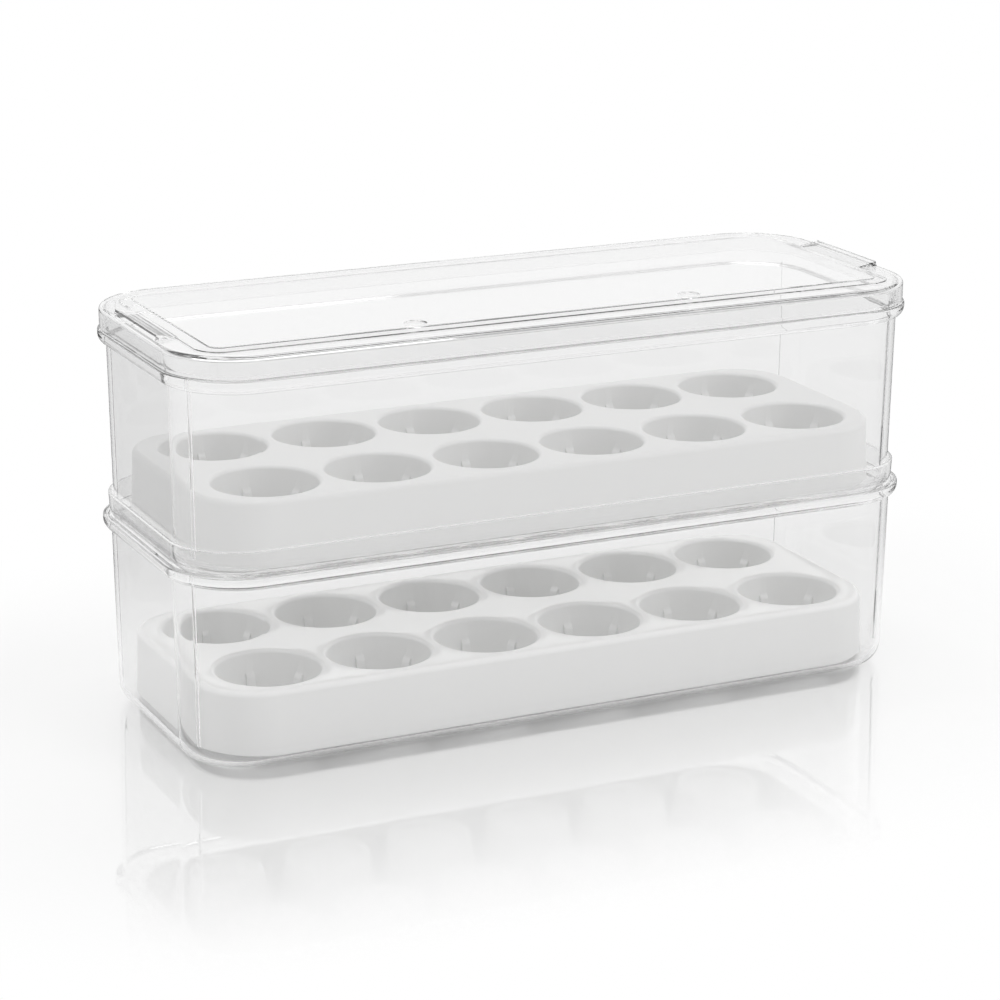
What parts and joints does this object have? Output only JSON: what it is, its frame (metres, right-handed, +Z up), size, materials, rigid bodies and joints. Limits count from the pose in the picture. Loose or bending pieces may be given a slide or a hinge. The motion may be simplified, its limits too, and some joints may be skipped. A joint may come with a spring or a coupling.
{
  "type": "egg holder",
  "caption": "Stacking clear egg holder: rounded bins with flange and collar nest on one another, each with a white cup tray inside, under a clear lid with end grips.",
  "frame": {"origin": "centre of the lower bin's flat base, on the surface it stands on", "axes": "+X along the long side, +Y from the front to the back, +Z up"},
  "size_m": [0.316, 0.124, 0.164],
  "materials": {
    "clear_bin": "clear polished plastic",
    "clear_lid": "clear polished plastic",
    "white_tray": "white satin-gloss plastic"
  },
  "bodies": {
    "lower_bin": {"lower_bin": "clear_bin"},
    "lower_egg_tray": {"lower_egg_tray": "white_tray"},
    "upper_bin": {"upper_bin": "clear_bin"},
    "upper_egg_tray": {"upper_egg_tray": "white_tray"},
    "lid": {"lid": "clear_lid"}
  },
  "joints": [
    {"name": "lower_tray_lift", "type": "slide", "parent": "lower_bin", "child": "lower_egg_tray", "axis": [0, 0, 1], "range_m": [0, 0.16]},
    {"name": "upper_bin_lift", "type": "slide", "parent": "lower_egg_tray", "child": "upper_bin", "axis": [0, 0, 1], "range_m": [0, 0.08]},
    {"name": "upper_tray_lift", "type": "slide", "parent": "upper_bin", "child": "upper_egg_tray", "axis": [0, 0, 1], "range_m": [0, 0.16]},
    {"name": "lid_lift", "type": "slide", "parent": "upper_egg_tray", "child": "lid", "axis": [0, 0, 1], "range_m": [0, 0.08]}
  ]
}
